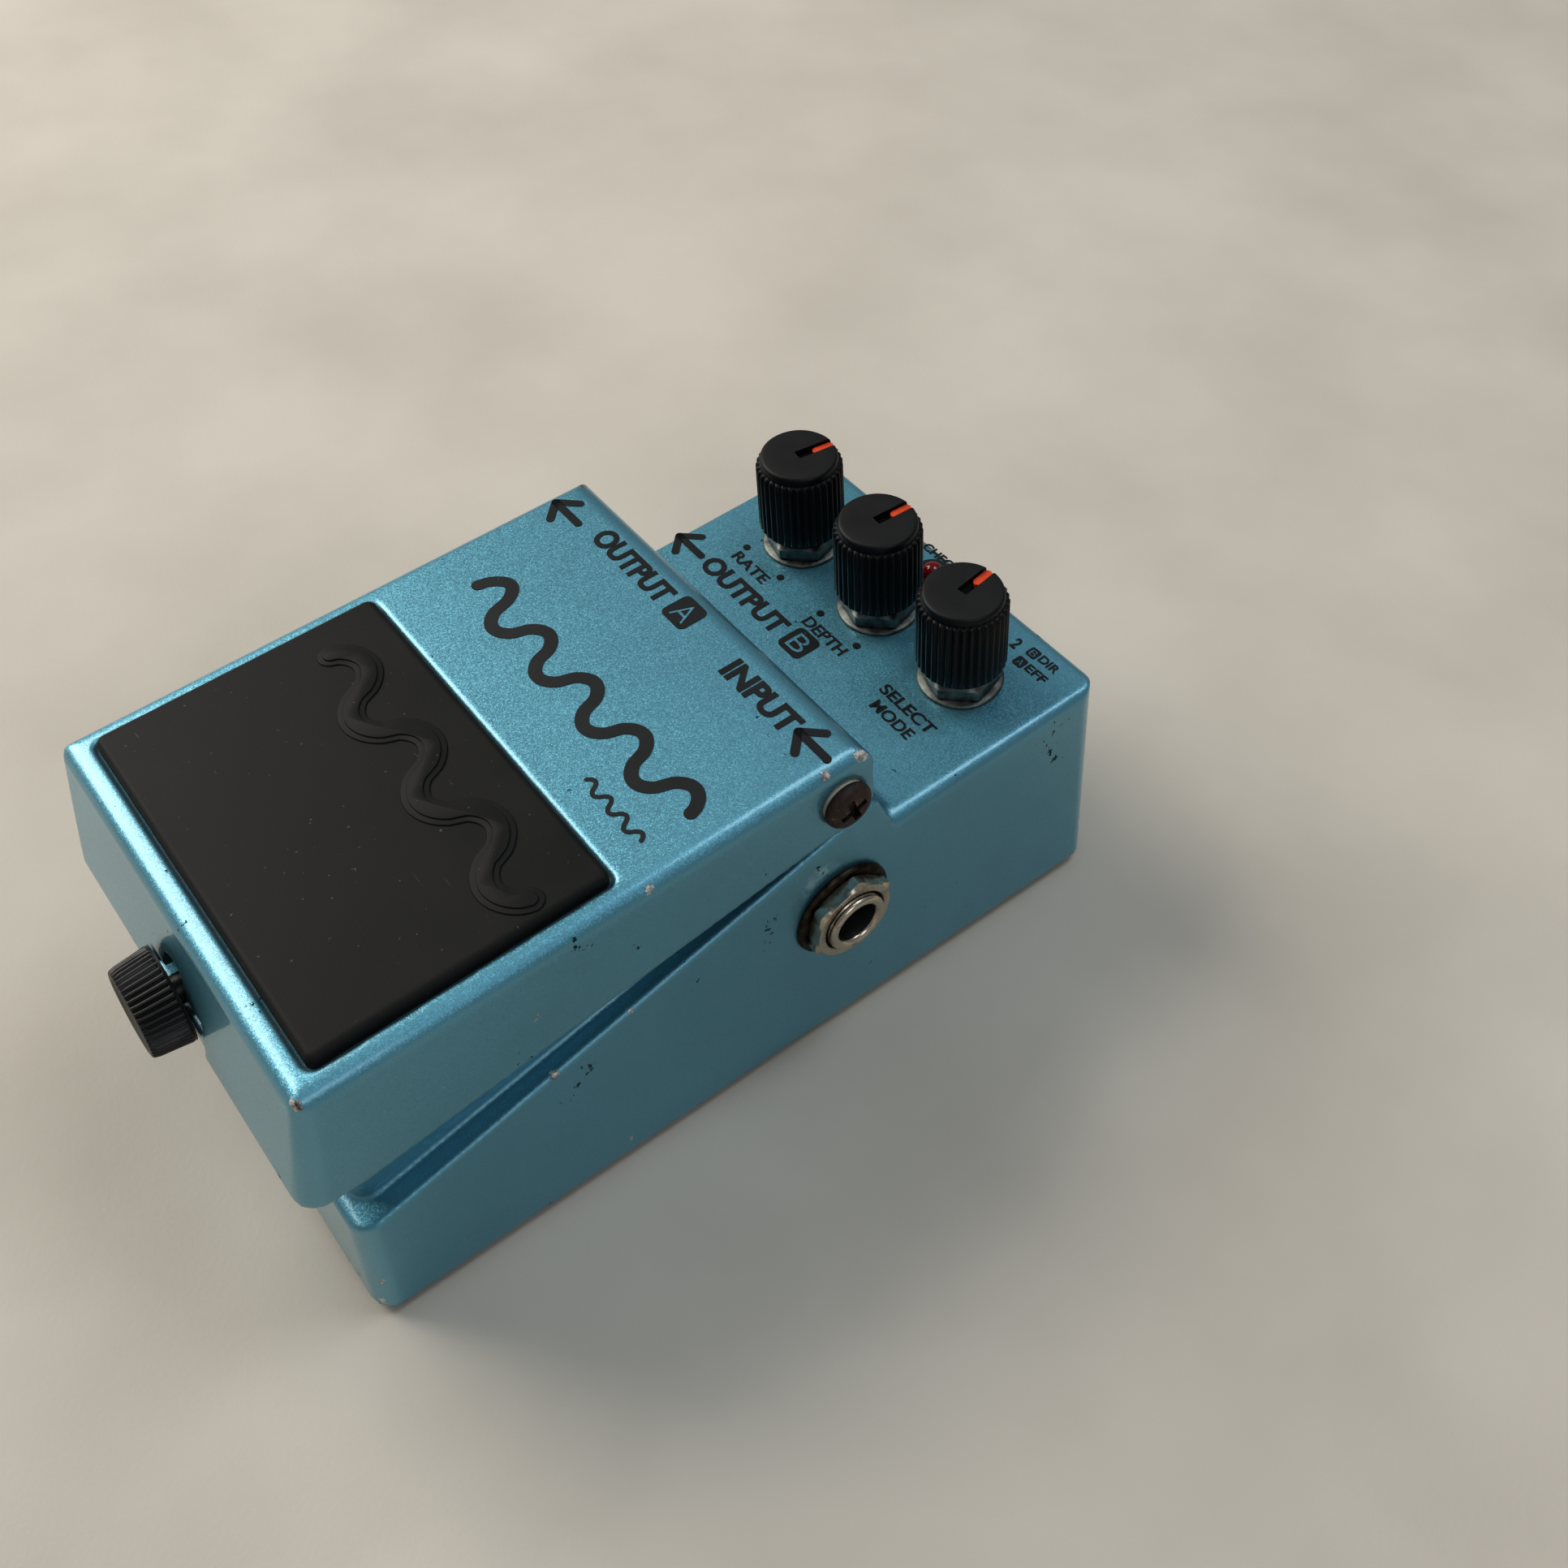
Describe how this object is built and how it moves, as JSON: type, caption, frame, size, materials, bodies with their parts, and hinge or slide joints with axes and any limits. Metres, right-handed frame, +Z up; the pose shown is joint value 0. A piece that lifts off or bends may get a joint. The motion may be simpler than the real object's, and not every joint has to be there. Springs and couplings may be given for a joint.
{
  "type": "guitar effects pedal",
  "caption": "Compact foot-operated guitar effects pedal: metal case, sprung hinged treadle over a battery tray, control knobs, side jack sockets and a front thumbscrew.",
  "frame": {"origin": "on the ground under the middle of the pedal's overall box", "axes": "+Z up, +Y from the foot end to the knobs, +X to the input jack's side"},
  "size_m": [0.0752, 0.1362, 0.0563],
  "materials": {
    "teal_paint": "metallic paint, worn at the edges",
    "black_rubber": "matt moulded rubber",
    "black_plastic": "satin moulded plastic",
    "pointer_orange": "matt paint",
    "nickel_plate": "tarnished nickel plate",
    "zinc_steel": "dull zinc plate",
    "rusty_screw": "rust-brown plated steel",
    "brass": "plain",
    "board": "solder-masked laminate",
    "capacitor_blue": "shrink sleeve",
    "film_brown": "dipped resin",
    "resistor_tan": "lacquered",
    "trimmer_blue": "moulded",
    "ribbon_grey": "vinyl",
    "lamp_red": "tinted clear lens",
    "nylon": "natural nylon",
    "felt_grey": "pressed felt",
    "foam_grey": "open-cell foam",
    "battery_case": "printed can",
    "lead_red": "vinyl",
    "insulator": "fibre sheet"
  },
  "bodies": {
    "case": {"chassis": "teal_paint", "base_plate": "zinc_steel", "base_rubber": "black_rubber", "base_screws": "zinc_steel", "thumb_bush": "brass", "main_board": "board", "insulating_sheet": "insulator", "board_screws": "zinc_steel", "chips": "black_plastic", "electrolytic_capacitors": "capacitor_blue", "film_capacitors": "film_brown", "resistors": "resistor_tan", "trimmers": "trimmer_blue", "control_board": "board", "board_wires": "ribbon_grey", "jack_housings": "black_plastic", "input_jack_bushing": "nickel_plate", "output_a_bushing": "nickel_plate", "output_b_bushing": "nickel_plate", "jack_washers": "zinc_steel", "jack_nuts": "nickel_plate", "jack_terminals": "brass", "dc_inlet": "black_plastic", "dc_inlet_pin": "nickel_plate", "pot_cases": "zinc_steel", "pot_washers": "zinc_steel", "pot_nuts": "nickel_plate", "led": "lamp_red", "led_collar": "black_plastic", "switch_case": "black_plastic", "battery": "battery_case", "battery_snap": "black_plastic", "battery_leads": "lead_red", "battery_foam": "foam_grey", "hinge_screws": "rusty_screw"},
    "hinge_bushes": {"hinge_bushes": "nylon", "return_spring": "zinc_steel"},
    "treadle": {"treadle": "teal_paint", "treadle_pad": "black_rubber", "striker_pad": "felt_grey"},
    "plunger": {"switch_plunger": "nylon"},
    "thumb_collar": {"thumb_collar": "nylon"},
    "thumbscrew": {"thumbscrew": "black_plastic"},
    "knob_1": {"knob_1": "black_plastic", "knob_pointer_1": "pointer_orange", "pot_shaft_1": "nickel_plate"},
    "knob_2": {"knob_2": "black_plastic", "knob_pointer_2": "pointer_orange", "pot_shaft_2": "nickel_plate"},
    "knob_3": {"knob_3": "black_plastic", "knob_pointer_3": "pointer_orange", "pot_shaft_3": "nickel_plate"}
  },
  "joints": [
    {"name": "cover_open", "type": "hinge", "parent": "case", "child": "hinge_bushes", "pos_m": [0, 0.01735, 0.049], "axis": [-1, 0, 0], "range_deg": [0, 70]},
    {"name": "treadle_press", "type": "hinge", "parent": "hinge_bushes", "child": "treadle", "pos_m": [0, 0.01735, 0.049], "axis": [1, 0, 0], "range_deg": [0, 1.8], "stiffness_Nm_per_rad": 5, "springref_deg": -3.44, "deforming": ["return_spring"]},
    {"name": "plunger_travel", "type": "slide", "parent": "case", "child": "plunger", "axis": [0, 0, -1], "range_m": [0, 0.002]},
    {"name": "thumbscrew_travel", "type": "slide", "parent": "case", "child": "thumb_collar", "axis": [0, -1, 0], "range_m": [0, 0.004]},
    {"name": "thumbscrew_turn", "type": "hinge", "parent": "thumb_collar", "child": "thumbscrew", "pos_m": [0, -0.06315, 0.038], "axis": [0, -1, 0], "range_deg": [0, 1805]},
    {"name": "knob_1_turn", "type": "hinge", "parent": "case", "child": "knob_1", "pos_m": [-0.0189, 0.05165, 0.03779], "axis": [0, -0.0523, 0.9986], "range_deg": [-140, 160]},
    {"name": "knob_2_turn", "type": "hinge", "parent": "case", "child": "knob_2", "pos_m": [0, 0.05165, 0.03779], "axis": [0, -0.0523, 0.9986], "range_deg": [-146, 154]},
    {"name": "knob_3_turn", "type": "hinge", "parent": "case", "child": "knob_3", "pos_m": [0.0189, 0.05165, 0.03779], "axis": [0, -0.0523, 0.9986], "range_deg": [-37, 23]}
  ],
  "couplings": [
    {"joint": "plunger_travel", "follows": "treadle_press", "m_per_rad": 0.0605},
    {"joint": "thumbscrew_turn", "follows": "thumbscrew_travel", "rad_per_m": 7854}
  ]
}
